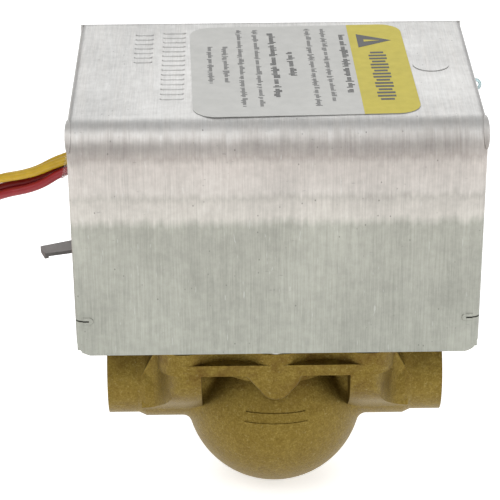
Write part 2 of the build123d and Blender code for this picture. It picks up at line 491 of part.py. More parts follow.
def return_spring():
    """Close-wound extension spring with a ring at each end, from the drive post to its anchor."""
    length = math.hypot(ANCHOR_X - DRIVE_POST[0], ANCHOR_Y - DRIVE_POST[1])
    aim = heading(DRIVE_POST, (ANCHOR_X, ANCHOR_Y))
    pitch = (length - 2 * SPRING_LEAD_IN) / SPRING_COILS
    profile = [(SPRING_LEAD_IN, SPRING_COIL_R - SPRING_WIRE_R)]
    for n in range(SPRING_COILS):
        x = SPRING_LEAD_IN + n * pitch
        profile += [(x, SPRING_COIL_R), (x + pitch / 2, SPRING_COIL_R + SPRING_WIRE_R)]
    x = length - SPRING_LEAD_IN
    profile += [(x, SPRING_COIL_R), (x, SPRING_COIL_R - SPRING_WIRE_R)]
    spring = revolve(make_face(Polyline(*profile, close=True)), Axis.X)
    for x, r, way in ((0.0, DRIVE_POST_R, 1), (length, ANCHOR_R, -1)):
        eye = r + 0.3 + SPRING_WIRE_R
        spring += Pos(x, 0, 0) * Torus(eye, SPRING_WIRE_R)
        stub = SPRING_LEAD_IN - eye + 0.4
        spring += xcyl(SPRING_WIRE_R, *sorted((x + way * (eye - 0.1), x + way * (eye + stub - 0.2))))
        spring += xcyl(SPRING_COIL_R, *sorted((x + way * SPRING_LEAD_IN, x + way * (SPRING_LEAD_IN + 0.8))))
    return Pos(*DRIVE_POST, SPRING_Z) * Rot(0, 0, aim) * spring


def spring_anchor():
    low = FLOOR_LOW + SHEET
    post = cyl(ANCHOR_R, low, ANCHOR_TOP, ANCHOR_X, ANCHOR_Y)
    post += cyl(ANCHOR_R + 1.6, low, SPRING_Z - 1.5, ANCHOR_X, ANCHOR_Y)
    return post + cyl(ANCHOR_R + 1.2, ANCHOR_TOP - 0.8, ANCHOR_TOP, ANCHOR_X, ANCHOR_Y)


# ---------------------------------------------------------------- manual opener
def manual_lever():
    high = LEVER_LOW + LEVER_T
    nose = Rot(0, 0, LEVER_NOSE_ANGLE) * (Pos(LEVER_NOSE_L / 2, 0) * Rectangle(LEVER_NOSE_L, LEVER_W)
                                          + Pos(LEVER_NOSE_L, 0) * Circle(LEVER_W / 2))
    root, tip = LEVER_ROOT_W / 2, LEVER_TIP_W / 2
    handle = make_face(Polyline((0, -root), (LEVER_TIP_L, -tip), (LEVER_TIP_L, tip), (0, root), close=True))
    lever = slab(nose, LEVER_LOW, high) + cyl(LEVER_HUB_R, LEVER_LOW, high)
    lever += Rot(0, 0, LEVER_TIP_ANGLE) * slab(handle, LEVER_LOW, high)
    tab = block(LEVER_TIP_L - LEVER_T, LEVER_TIP_L, -tip, tip, high - LEVER_TIP_DROP, high)
    lever += Rot(0, 0, LEVER_TIP_ANGLE) * fillet(tab.edges().filter_by(Axis.X).group_by(Axis.Z)[0], 0.8)
    lever -= cyl(LEVER_PIN_R + SHAFT_FIT, 0, 60)
    return Pos(LEVER_X, LEVER_Y, 0) * lever


def lever_pivot():
    post = cyl(LEVER_SHOULDER_R, FLOOR_LOW + SHEET, LEVER_LOW - 0.1, LEVER_X, LEVER_Y)
    post += cyl(LEVER_PIN_R, LEVER_LOW - 1, LEVER_PIN_TOP, LEVER_X, LEVER_Y)
    groove = LEVER_LOW + LEVER_T + 0.15
    neck = cyl(LEVER_PIN_R + 1, groove, groove + 0.7, LEVER_X, LEVER_Y)
    return post - (neck - cyl(LEVER_PIN_R - 0.5, groove - 1, groove + 2, LEVER_X, LEVER_Y))


def lever_clip():
    groove = LEVER_LOW + LEVER_T + 0.15
    return ring_clip(LEVER_PIN_R - 0.45, LEVER_PIN_R + 1.7, groove + 0.05, 0.6, LEVER_X, LEVER_Y, 250)


# ---------------------------------------------------------------- end switch
def at_cam(shape):
    """Places a shape drawn with +X away from the stem on the cam follower's radius."""
    return Pos(STEM_X, STEM_Y, 0) * Rot(0, 0, CAM_ANGLE) * shape


def end_switch():
    body = block(SWITCH_R0, SWITCH_R1, SWITCH_T0, SWITCH_T1, SWITCH_LOW, SWITCH_HIGH)
    body = fillet(body.edges().filter_by(Axis.Z), 1.0)
    feet = block(SWITCH_R0 + 2, SWITCH_R1 - 2, SWITCH_T0 + 2, SWITCH_T1 - 2, FLOOR_LOW + SHEET, SWITCH_LOW)
    body = body + feet - xcyl(PLUNGER_R + SHAFT_FIT, SWITCH_R0 - 1, SWITCH_R0 + PLUNGER_L, 0, PLUNGER_Z)
    for t in (SWITCH_T0 + 4, SWITCH_T1 - 4):
        body -= cyl(1.6, SWITCH_HIGH - 4, SWITCH_HIGH + 1, SWITCH_R1 - 4, t)
    return at_cam(body)


def switch_screws():
    heads = []
    for t in (SWITCH_T0 + 4, SWITCH_T1 - 4):
        slot = Pos(SWITCH_R1 - 4, t, SWITCH_HIGH - 0.2) * Box(2.4, 0.6, 0.8)
        heads.append(at_cam(cyl(1.6, SWITCH_HIGH - 4, SWITCH_HIGH - 0.2, SWITCH_R1 - 4, t) - slot))
    return group(heads)


TERMINAL_TS = (SWITCH_T0 + 6.0, SWITCH_T1 - 8.0)
TERMINAL_Z, TERMINAL_L = 32.0, 6.0


def switch_terminals():
    blades = [block(SWITCH_R1, SWITCH_R1 + TERMINAL_L, t - 1.6, t + 1.6, TERMINAL_Z - 0.4, TERMINAL_Z + 0.4)
              for t in TERMINAL_TS]
    return group([at_cam(blade) for blade in blades])


def switch_plunger():
    tip = CAM_R0 + PLUNGER_GAP + PLUNGER_R
    pin = xcyl(PLUNGER_R, tip, tip + PLUNGER_L - PLUNGER_R - 2.0, 0, PLUNGER_Z)
    return at_cam(pin + Pos(tip, 0, PLUNGER_Z) * Sphere(PLUNGER_R))


# ---------------------------------------------------------------- cover
def bent_sheet(inset, x0_low, x1_low, x0_top, x1_top):
    """A block with the cover's two long bends, each face moved in by the inset."""
    top, low = COVER_TOP - inset, FLOOR_LOW - (1 if inset else 0)
    ends = make_face(Polyline((x0_low + inset, low), (x1_low - inset, low), (x1_top - inset, top),
                              (x0_top + inset, top), close=True))
    sheet = Plane.XZ.offset(-COVER_Y1 + inset) * extrude(ends, amount=COVER_Y1 - COVER_Y0 - 2 * inset)
    return fillet(sheet.edges().filter_by(Axis.X).group_by(Axis.Z)[-1], COVER_BEND_R - inset)


def cover_skin(inset):
    """The cover's outer shape, or its inner one, with the bends to its end flanges as well."""
    skin = bent_sheet(inset, COVER_LOW_X0, COVER_LOW_X1, COVER_TOP_X0, COVER_TOP_X1)
    faces = skin.faces().sort_by(Axis.X)
    edges = [e for face in (faces[0], faces[-1]) for e in face.edges() if e.center().Z > FLOOR_LOW + 0.5]
    return fillet(edges, COVER_END_BEND_R - inset)


def cover():
    shell = cover_skin(0.0) - cover_skin(COVER_T)
    y0, y1, top = COVER_Y0 + COVER_FLANGE, COVER_Y1 - COVER_FLANGE, COVER_TOP - COVER_FLANGE
    window = Pos(0, (y0 + y1) / 2, (top + FLOOR_LOW - 10) / 2) * Box(
        4 * COVER_TOP_X1, y1 - y0, top - FLOOR_LOW + 10)
    shell -= fillet(window.edges().filter_by(Axis.X).group_by(Axis.Z)[-1], 3.0)
    wide = [bent_sheet(inset, -60, 60, -60, 60) for inset in (0.0, COVER_T)]
    in_bend = COVER_BEND_R * (1 - math.sqrt(0.5))
    for side, x_low, x_top in ((-1, -COVER_LOW_X0, -COVER_TOP_X0), (1, COVER_LOW_X1, COVER_TOP_X1)):
        for y, turn, inward in ((COVER_Y0, 45, 1), (COVER_Y1, -45, -1)):
            # a mitre gap in the end flange, below the sheet's swelling at each end of its long bends
            shell -= Pos(side * x_top, y, COVER_TOP) * Rot(turn, 0, 0) * Box(2 * COVER_T, MITRE_GAP, 40)
            swell = scale(Sphere(BULGE_R), by=(BULGE_OUT / BULGE_R, 1, 1))
            swell = Pos(side * (x_top - BULGE_SUNK), y + inward * in_bend, COVER_TOP - in_bend) * swell
            shell += (swell & wide[0]) - wide[1]
        for y in (COVER_Y0, COVER_Y1):     # rounded lower corners of the front and back sheets
            r, out = COVER_CORNER_R, COVER_CORNER_R + 1
            corner = Pos(side * out / 2, 0, -out / 2) * Box(out, 6, out) - Rot(90, 0, 0) * Cylinder(r, 8)
            shell -= Pos(side * (x_low - r + CORNER_OVER), y, FLOOR_LOW + r - CORNER_OVER) * corner
        # the catch slit in a lightly pressed-out surround
        pressed = Pos(side * (x_low - CATCH_PRESS_L / 2 + 2), CATCH_Z) * SlotOverall(
            CATCH_PRESS_L + 4, CATCH_PRESS_H)
        pressed = Plane.XZ.offset(-COVER_Y0 - 0.01) * extrude(pressed, amount=CATCH_PRESS, taper=40)
        shell += pressed & block(-x_low + 1.9, x_low - 1.9, COVER_Y0 - 1, COVER_Y0 + 1, 0, COVER_TOP)
        shell -= block(*sorted((side * (x_low + 1), side * (x_low - CATCH_L))), COVER_Y0 - 1, COVER_Y0 + 3,
                       CATCH_Z - CATCH_H / 2, CATCH_Z + CATCH_H / 2)
    shell -= loop_ring(LOOP_WIRE_R + LOOP_FIT)     # the nylon loop's two holes through the end flange
    # rows of plain raised ribs beside the label, and a raised arc at the other end
    for x, length, y, count in RIB_ROWS:
        for k in range(count):
            rib = extrude(SlotOverall(length, RIB_W), amount=RIB_H, taper=RIB_SLOPE)
            shell += Pos(x, y + k * RIB_PITCH, COVER_TOP) * rib
    arc = Circle(ARC_R) - Circle(ARC_R - 1) - Pos(0, ARC_R) * Rectangle(3 * ARC_R, 2 * ARC_R)
    shell += Pos(ARC_X, ARC_Y, COVER_TOP) * extrude(arc, amount=RIB_H)
    return shell


def cover_label():
    middle = ((LABEL_X0 + LABEL_X1) / 2, (LABEL_Y0 + LABEL_Y1) / 2)
    sheet = RectangleRounded(LABEL_X1 - LABEL_X0, LABEL_Y1 - LABEL_Y0, LABEL_R)
    return slab(Rot(0, 0, LABEL_TURN) * sheet, COVER_TOP, COVER_TOP + LABEL_T, *middle)


def loop_ring(wire_r):
    return Pos(LOOP_X, LOOP_Y, LOOP_Z) * Rot(90, 0, 0) * Torus(LOOP_R, wire_r)


# ---------------------------------------------------------------- leads
def lead_bushing():
    """Clear snap-in bushing whose thin snout follows the leads and ends in a slanted mouth."""
    x = -CHASSIS_X
    tilt = Pos(x - 1.5, LEAD_Y, LEAD_Z) * Rot(0, -90 - BUSHING_TILT, 0)
    snout = tilt * Pos(0, 0, BUSHING_REACH / 2) * Cylinder(BUSHING_R, BUSHING_REACH)
    end = Pos(BUSHING_END_X, LEAD_Y, BUSHING_END_Z) * Rot(0, BUSHING_END_LEAN - 90, 0)
    snout -= end * Pos(0, 0, 10) * Box(20, 20, 20)
    body = xcyl(BUSHING_HOLE_R - 0.1, x - 1.1, x + SHEET + 1.6, LEAD_Y, LEAD_Z) + snout
    body += xcyl(BUSHING_HOLE_R + 1.0, x - 1.1, x - 0.02, LEAD_Y, LEAD_Z)
    body += xcyl(BUSHING_HOLE_R + 0.6, x + SHEET + 0.05, x + SHEET + 1.6, LEAD_Y, LEAD_Z)
    return body - tilt * Cylinder(BUSHING_BORE_R, 40)


def lead_points(name):
    points = []
    for ((x, y, z), facing), (side, out) in zip(BUNDLE, LEAD_PLACES[name]):
        a = math.radians(facing)
        points.append(Vector(x + out * math.cos(a), y + side, z + out * math.sin(a)))
    return points


def tube(points, r):
    """Round wire along straight runs joined by arcs as large as the runs allow."""
    radii = []
    for a, b, c in zip(points, points[1:], points[2:]):
        turn = math.radians((b - a).get_angle(c - b))
        radii.append(0.45 * min((b - a).length, (c - b).length) / math.tan(turn / 2))
    path = FilletPolyline(*points, radius=radii)
    return sweep((path ^ 0) * Circle(r), path=path)


def lead_coil():
    ring = Cylinder(COIL_OUT_R, COIL_W) - Cylinder(COIL_INNER_R, COIL_W + 2)
    return Pos(COIL_X, COIL_Y, COIL_Z) * Rot(90, 0, 0) * ring


def coil_tie():
    """Flat tie drawn round the coil's outer side, with its locking head."""
    x0, x1 = COIL_X - COIL_OUT_R - 0.1, COIL_X - COIL_INNER_R + TIE_FIT
    y0, y1 = COIL_Y - COIL_W / 2 - 0.1, COIL_Y + COIL_W / 2 + 0.1
    z0, z1 = COIL_Z - TIE_W / 2, COIL_Z + TIE_W / 2
    band = block(x0 - TIE_T, x1 + TIE_T, y0 - TIE_T, y1 + TIE_T, z0, z1)
    band -= block(x0, x1, y0, y1, z0 - 1, z1 + 1)
    h = TIE_HEAD / 2
    return band + block(x0 - TIE_T - 2.2, x0 - TIE_T, COIL_Y - h, COIL_Y + h, COIL_Z - h, COIL_Z + h)


# inner wires: from the motor can and the switch terminals to the leads' inner ends
INNER_RUN = 14.0                         # each wire leaves its lead in line with it
YELLOW_INNER = {"front": [(-12.0, -4.6, 64.4), (-24.0, 0.4, 67.2)],
                "back": [(-12.0, -1.4, 64.4), (-24.0, 3.2, 67.2)]}
YELLOW_END_Y, YELLOW_END_Z, WIRE_GAP = {"front": -7.6, "back": -4.4}, 62.0, 0.5
RED_INNER = {"front": [(-19.0, -23.0, 43.0), (-23.0, -17.0, 54.0), (-28.0, -5.5, 62.0)],
             "back": [(-31.0, -16.0, 42.5), (-34.0, -9.5, 53.0), (-28.5, 0.5, 62.0)]}


def inner_points(name):
    colour, _, place = name.split("_")
    first, second = lead_points(name)[:2]
    near = first + (first - second).normalized() * INNER_RUN
    if colour == "yellow":
        y = YELLOW_END_Y[place]
        x = MOTOR_X - math.sqrt(MOTOR_R ** 2 - (y - MOTOR_Y) ** 2) - WIRE_GAP
        return [Vector(x, y, YELLOW_END_Z), *[Vector(*p) for p in YELLOW_INNER[place]], near, first]
    a, t = math.radians(CAM_ANGLE), TERMINAL_TS[place == "front"]
    r, z = SWITCH_R1 + TERMINAL_L - 2.5, TERMINAL_Z + 0.45 + LEAD_R
    end = Vector(STEM_X + r * math.cos(a) - t * math.sin(a), STEM_Y + r * math.sin(a) + t * math.cos(a), z)
    return [end, *[Vector(*p) for p in RED_INNER[place]], near, first]


NODES = {
    "valve_body": valve_body, "body_seal": body_seal, "top_plate": top_plate, "plate_screws": plate_screws,
    "stem": stem, "stem_seals": stem_seals, "ball_arm": ball_arm, "rubber_ball": rubber_ball,
    "chassis": chassis, "chassis_screws": chassis_screws, "motor_bracket": motor_bracket,
    "bracket_rivets": bracket_rivets, "gearcase": gearcase, "gear_pins": gear_pins, "motor_can": motor_can,
    "motor_coil": motor_coil, "rotor": rotor, "output_shaft": output_shaft, "sector_gear": sector_gear,
    "drive_post": drive_post, "return_spring": return_spring, "spring_anchor": spring_anchor,
    "manual_lever": manual_lever, "lever_pivot": lever_pivot, "lever_clip": lever_clip,
    "end_switch": end_switch, "switch_screws": switch_screws, "switch_terminals": switch_terminals,
    "switch_plunger": switch_plunger, "cover": cover, "cover_label": cover_label,
    "lead_bushing": lead_bushing, "lead_coil": lead_coil, "coil_tie": coil_tie,
}
for node, make in NODES.items():
    save(node, make())
save("nylon_loop", loop_ring(LOOP_WIRE_R))
save("train_gear_1", train_gear(GEAR_1, GEAR_1_PHASE, 0))
save("train_gear_2", train_gear(GEAR_2, GEAR_2_PHASE, 1))
save("stem_clip", ring_clip(STEM_R - 0.65, STEM_R + 2.0, CLIP_Z, CLIP_T, STEM_X, STEM_Y, 60))
for lead in LEAD_PLACES:
    save(lead, tube(lead_points(lead), LEAD_R))
    save("inner_" + lead, tube(inner_points(lead), LEAD_R))
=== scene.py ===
import json
import math
import random

import bpy
from mathutils import Matrix, Vector


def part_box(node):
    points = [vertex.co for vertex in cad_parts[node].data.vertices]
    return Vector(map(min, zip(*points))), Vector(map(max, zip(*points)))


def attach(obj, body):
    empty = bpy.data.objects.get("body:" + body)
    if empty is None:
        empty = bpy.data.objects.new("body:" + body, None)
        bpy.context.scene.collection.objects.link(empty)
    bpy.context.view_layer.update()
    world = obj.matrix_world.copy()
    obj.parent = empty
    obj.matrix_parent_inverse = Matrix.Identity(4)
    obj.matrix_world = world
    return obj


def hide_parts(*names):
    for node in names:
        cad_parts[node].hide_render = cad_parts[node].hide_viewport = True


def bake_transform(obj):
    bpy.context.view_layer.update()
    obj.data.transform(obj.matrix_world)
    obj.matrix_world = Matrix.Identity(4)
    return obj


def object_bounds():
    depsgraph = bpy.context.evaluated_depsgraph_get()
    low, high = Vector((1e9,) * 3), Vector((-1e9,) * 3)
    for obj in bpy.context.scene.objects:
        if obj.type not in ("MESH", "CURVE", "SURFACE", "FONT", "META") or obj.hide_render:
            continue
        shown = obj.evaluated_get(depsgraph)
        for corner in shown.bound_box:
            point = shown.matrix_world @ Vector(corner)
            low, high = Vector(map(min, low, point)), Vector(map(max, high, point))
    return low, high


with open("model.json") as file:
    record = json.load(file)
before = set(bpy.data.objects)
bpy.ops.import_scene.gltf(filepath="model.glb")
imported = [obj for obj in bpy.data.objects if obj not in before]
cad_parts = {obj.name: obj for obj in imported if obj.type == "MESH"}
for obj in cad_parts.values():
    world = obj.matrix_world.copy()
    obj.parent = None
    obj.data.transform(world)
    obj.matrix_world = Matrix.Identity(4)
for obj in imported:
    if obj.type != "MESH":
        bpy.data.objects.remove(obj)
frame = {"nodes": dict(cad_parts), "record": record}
CAD_LOW, CAD_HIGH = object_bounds()
NODES = frame["nodes"]


# ---------------------------------------------------------------- camera
CAMERA_PLACE, CAMERA_LENS, SENSOR_WIDTH = (0.034385, -0.547428, 0.309989), 158.12, 36.0
CAMERA_YAW, CAMERA_PITCH, CAMERA_ROLL = 0.011, 0.463, -0.007         # radians, pitch is downwards
CLIP_NEAR, CLIP_FAR = 0.02, 20.0


def make_camera():
    """A long lens above the front of the valve, looking down at it."""
    yaw, pitch, roll = CAMERA_YAW, CAMERA_PITCH, CAMERA_ROLL
    forward = Vector((math.sin(yaw) * math.cos(pitch), math.cos(yaw) * math.cos(pitch), -math.sin(pitch)))
    level = Vector((math.cos(yaw), -math.sin(yaw), 0.0))
    upright = level.cross(forward)
    right = math.cos(roll) * level + math.sin(roll) * upright
    up = math.cos(roll) * upright - math.sin(roll) * level
    data = bpy.data.cameras.new("camera")
    data.sensor_width, data.lens = SENSOR_WIDTH, CAMERA_LENS
    data.clip_start, data.clip_end = CLIP_NEAR, CLIP_FAR
    camera = bpy.data.objects.new("camera", data)
    turn = Matrix((right, up, -forward)).transposed().to_4x4()
    camera.matrix_world = Matrix.Translation(CAMERA_PLACE) @ turn
    bpy.context.scene.collection.objects.link(camera)
    bpy.context.scene.camera = camera


make_camera()


# ---------------------------------------------------------------- material helpers
MIX_COLOUR_A, MIX_COLOUR_B, MIX_COLOUR_OUT = 6, 7, 2      # the colour sockets of a Mix node


class Shader:
    """A node material whose textures read the piece's own coordinates, which are the frame's."""

    def __init__(self, name, roughness=0.5, metallic=0.0, **sockets):
        self.mat = bpy.data.materials.new(name)
        self.mat.use_nodes = True
        self.tree = self.mat.node_tree
        self.bsdf = self.tree.nodes["Principled BSDF"]
        self.set("Roughness", roughness)
        self.set("Metallic", metallic)
        for socket, value in sockets.items():
            self.set(socket.replace("_", " "), value)
        self.coords = self.tree.nodes.new("ShaderNodeTexCoord").outputs["Object"]
        self.height = None

    def set(self, socket, value):
        self.bsdf.inputs[socket].default_value = value

    def link(self, output, socket):
        self.tree.links.new(output, self.bsdf.inputs[socket])

    def feed(self, socket, value):
        """Join an output to the socket, or set the socket to a plain value."""
        if isinstance(value, bpy.types.NodeSocket):
            self.tree.links.new(value, socket)
        else:
            socket.default_value = (*value, 1) if isinstance(value, tuple) else value

    def texture(self, kind, scale, stretch, turn=(0, 0, 0), offset=(0, 0, 0)):
        """A texture node with about scale features in a metre, drawn out where the stretch is small."""
        mapping = self.tree.nodes.new("ShaderNodeMapping")
        mapping.inputs["Scale"].default_value = [scale * s for s in stretch]
        mapping.inputs["Rotation"].default_value = turn
        mapping.inputs["Location"].default_value = offset
        self.tree.links.new(self.coords, mapping.inputs["Vector"])
        node = self.tree.nodes.new(kind)
        node.inputs["Scale"].default_value = 1.0
        self.tree.links.new(mapping.outputs[0], node.inputs["Vector"])
        return node

    def noise(self, scale, detail=4.0, rough=0.6, stretch=(1, 1, 1), turn=(0, 0, 0),
              offset=(0, 0, 0), distort=0.0):
        node = self.texture("ShaderNodeTexNoise", scale, stretch, turn, offset)
        node.inputs["Detail"].default_value = detail
        node.inputs["Roughness"].default_value = rough
        node.inputs["Distortion"].default_value = distort
        return node.outputs[0]

    def cells(self, scale, stretch):
        return self.texture("ShaderNodeTexVoronoi", scale, stretch).outputs["Distance"]

    def axis(self, which, low, high):
        """0 at the low coordinate and 1 at the high one, along X, Y or Z."""
        split = self.tree.nodes.new("ShaderNodeSeparateXYZ")
        self.tree.links.new(self.coords, split.inputs[0])
        node = self.tree.nodes.new("ShaderNodeMapRange")
        node.inputs["From Min"].default_value = low
        node.inputs["From Max"].default_value = high
        self.tree.links.new(split.outputs["XYZ".index(which)], node.inputs["Value"])
        return node.outputs[0]

    def ramp(self, value, stops):
        node = self.tree.nodes.new("ShaderNodeValToRGB")
        band = node.color_ramp
        while len(band.elements) < len(stops):
            band.elements.new(0.5)
        for element, (place, colour) in zip(band.elements, stops):
            element.position = place
            element.color = (*colour, 1) if isinstance(colour, tuple) else (colour, colour, colour, 1)
        self.tree.links.new(value, node.inputs["Fac"])
        return node.outputs["Color"]

    def mix(self, fac, a, b, mode="MIX"):
        node = self.tree.nodes.new("ShaderNodeMix")
        node.data_type, node.blend_type = "RGBA", mode
        for socket, value in (("Factor", fac), (MIX_COLOUR_A, a), (MIX_COLOUR_B, b)):
            self.feed(node.inputs[socket], value)
        return node.outputs[MIX_COLOUR_OUT]

    def math(self, op, a, b):
        node = self.tree.nodes.new("ShaderNodeMath")
        node.operation = op
        for socket, value in zip(node.inputs, (a, b)):
            self.feed(socket, value)
        return node.outputs[0]

    def bump(self, height, distance, strength):
        """Fine relief, laid over the reliefs given before it."""
        node = self.tree.nodes.new("ShaderNodeBump")
        node.inputs["Distance"].default_value = distance
        node.inputs["Strength"].default_value = strength
        self.tree.links.new(height, node.inputs["Height"])
        if self.height is not None:
            self.tree.links.new(self.height, node.inputs["Normal"])
        self.height = node.outputs[0]
        self.link(self.height, "Normal")


# cover: painted reflection and painted shade by height: darker greenish grey low on the sides, a paler and
# warmer painted reflection band higher up, a darker band and a painted highlight at the top bend, and plain
# grey on top
PAINTED_LIGHT_FROM, PAINTED_LIGHT_WANDER = 0.056, 0.07      # metres above the lowest point, and how ragged the steps are
COVER_PAINTED_LIGHT_TONES = [(0.0, (0.335, 0.342, 0.300)), (0.585, (0.365, 0.366, 0.322)),
               (0.625, (0.515, 0.492, 0.452)), (0.685, (0.480, 0.456, 0.420)),
               (0.705, (0.425, 0.405, 0.372)), (0.73, (0.500, 0.472, 0.440)),
               (0.845, (0.500, 0.462, 0.430)), (0.875, (0.385, 0.352, 0.326)),
               (0.925, (0.440, 0.412, 0.388)), (0.965, (0.590, 0.575, 0.555)),
               (1.0, (0.495, 0.492, 0.482))]


def aluminium():
    """Mill-finish sheet: fine grain up the front and over the top, mottled, with specks and scratches, and
    painted reflection bands and painted shade by height.
    """
    s = Shader("cover_aluminium", metallic=0.88)
    grain = s.noise(2600, 3, 0.75, (1, 0.035, 0.035))
    streak = s.noise(700, 3, 0.6, (1, 0.03, 0.03), offset=(1.7, 0.3, 0.9))
    clouds = s.noise(30, 5, 0.6)
    smear = s.noise(105, 5, 0.7, (1, 0.5, 0.4), distort=0.8)
    # painted reflection and painted shade: the cover's colour steps with height, made ragged by the streak
    # noise
    level = s.math("ADD", s.axis("Z", CAD_LOW.z + PAINTED_LIGHT_FROM, CAD_HIGH.z),
                   s.math("MULTIPLY", s.math("SUBTRACT", streak, 0.5), PAINTED_LIGHT_WANDER))
    painted_light_tone = s.ramp(level, COVER_PAINTED_LIGHT_TONES)
    base = s.mix(0.55, painted_light_tone, s.ramp(clouds, [(0.3, 0.38), (0.5, 0.50), (0.7, 0.62)]), "OVERLAY")
    base = s.mix(0.34, base, s.ramp(grain, [(0.32, 0.34), (0.5, 0.50), (0.68, 0.66)]), "OVERLAY")
    base = s.mix(0.14, base, s.ramp(streak, [(0.35, 0.38), (0.65, 0.62)]), "OVERLAY")
    mottle = s.noise(420, 4, 0.7, offset=(2.2, 0.1, 0.6))
    base = s.mix(0.22, base, s.ramp(mottle, [(0.35, 0.36), (0.65, 0.64)]), "OVERLAY")
    # dark specks, and short light and dark scratches in two directions
    speck = s.ramp(s.cells(420, (1, 0.7, 0.7)), [(0.0, 1.0), (0.055, 1.0), (0.10, 0.0)])
    chosen = s.ramp(s.noise(210, 2, 0.5, offset=(0.4, 2.0, 1.1)), [(0.50, 0.0), (0.56, 1.0)])
    base = s.mix(s.math("MULTIPLY", s.math("MULTIPLY", speck, chosen), 0.6), base, (0.13, 0.125, 0.115))
    light_cut = s.ramp(s.noise(1500, 2, 0.5, (1, 0.16, 0.14), (0.3, 0.6, 0.4)), [(0.70, 0.0), (0.74, 1.0)])
    dark_cut = s.ramp(s.noise(1300, 2, 0.5, (0.30, 1, 0.9), (0.5, 0.2, 0.6)), [(0.73, 0.0), (0.77, 1.0)])
    base = s.mix(s.math("MULTIPLY", light_cut, 0.30), base, (0.68, 0.68, 0.66))
    base = s.mix(s.math("MULTIPLY", dark_cut, 0.35), base, (0.20, 0.195, 0.185))
    s.link(base, "Base Color")
    rough = s.math("ADD", s.math("MULTIPLY", smear, 0.22), 0.34)
    s.link(s.math("ADD", rough, s.math("MULTIPLY", grain, 0.10)), "Roughness")
    s.bump(grain, 0.000018, 0.55)
    s.bump(clouds, 0.0006, 0.30)
    s.bump(s.math("SUBTRACT", dark_cut, light_cut), 0.00003, 0.4)
    return s.mat


STAIN_LOW, STAIN_HIGH = -0.004, 0.010     # heights between which the brass gets its brown stains


def cast_brass():
    """Forged brass with a sandy skin, brown stains on the shoulders and pale dust."""
    s = Shader("brass_casting", metallic=0.86)
    sand = s.noise(1900, 4, 0.8)
    coarse = s.noise(620, 5, 0.75)
    blot = s.noise(75, 5, 0.7, distort=0.4)
    base = s.ramp(blot, [(0.3, (0.150, 0.093, 0.012)), (0.5, (0.190, 0.126, 0.018)),
                         (0.72, (0.235, 0.166, 0.034))])
    base = s.mix(0.48, base, s.ramp(sand, [(0.34, (0.060, 0.034, 0.004)), (0.5, (0.190, 0.128, 0.020)),
                                          (0.66, (0.430, 0.335, 0.110))]))
    base = s.mix(0.30, base, s.ramp(coarse, [(0.35, (0.100, 0.060, 0.007)), (0.65, (0.285, 0.208, 0.050))]))
    stain = s.ramp(s.noise(120, 5, 0.75, offset=(3.1, 1.2, 0.4)), [(0.45, 0.0), (0.64, 1.0)])
    shoulder = s.ramp(s.axis("Z", STAIN_LOW, STAIN_HIGH), [(0.0, 0.0), (1.0, 1.0)])
    base = s.mix(s.math("MULTIPLY", s.math("MULTIPLY", stain, shoulder), 0.62), base, (0.085, 0.038, 0.006))
    dust = s.ramp(s.noise(800, 3, 0.8, offset=(0.2, 0.7, 1.9)), [(0.60, 0.0), (0.72, 1.0)])
    base = s.mix(s.math("MULTIPLY", dust, 0.35), base, (0.44, 0.37, 0.17))
    s.link(base, "Base Color")
    s.link(s.math("ADD", s.math("MULTIPLY", coarse, 0.24), 0.36), "Roughness")
    s.bump(sand, 0.00014, 0.8)
    s.bump(coarse, 0.00030, 0.6)
    s.bump(blot, 0.0007, 0.3)
    return s.mat


PLATED_RELIEF = 0.00002


def plated(name, dark, light, scale=300, stretch=(1, 1, 1), rough=0.32):
    """Bare or plated metal, with its grain along the axes where the stretch is small."""
    s = Shader(name, metallic=0.95)
    cloud, fine = s.noise(scale * 0.2, 4, 0.6), s.noise(scale * 4, 3, 0.7, stretch)
    base = s.mix(0.3, s.ramp(cloud, [(0.3, dark), (0.7, light)]), s.ramp(fine, [(0.3, dark), (0.7, light)]))
    s.link(base, "Base Color")
    s.link(s.math("ADD", s.math("MULTIPLY", cloud, 0.2), rough - 0.1), "Roughness")
    s.bump(fine, PLATED_RELIEF, 0.6)
    return s.mat


def moulded(name, dark, light, rough=0.42, scale=700, relief=0.00002, **sockets):
    """Rubber, plastic, film or print. Further arguments set the shader's own sockets."""
    s = Shader(name, **sockets)
    fine, cloud = s.noise(scale, 4, 0.6), s.noise(scale * 0.12, 4, 0.6)
    base = s.mix(0.5, s.ramp(cloud, [(0.3, dark), (0.7, light)]), s.ramp(fine, [(0.35, dark), (0.65, light)]))
    s.link(base, "Base Color")
    s.link(s.math("ADD", s.math("MULTIPLY", cloud, 0.16), rough - 0.08), "Roughness")
    s.bump(fine, relief, 0.6)
    return s.mat


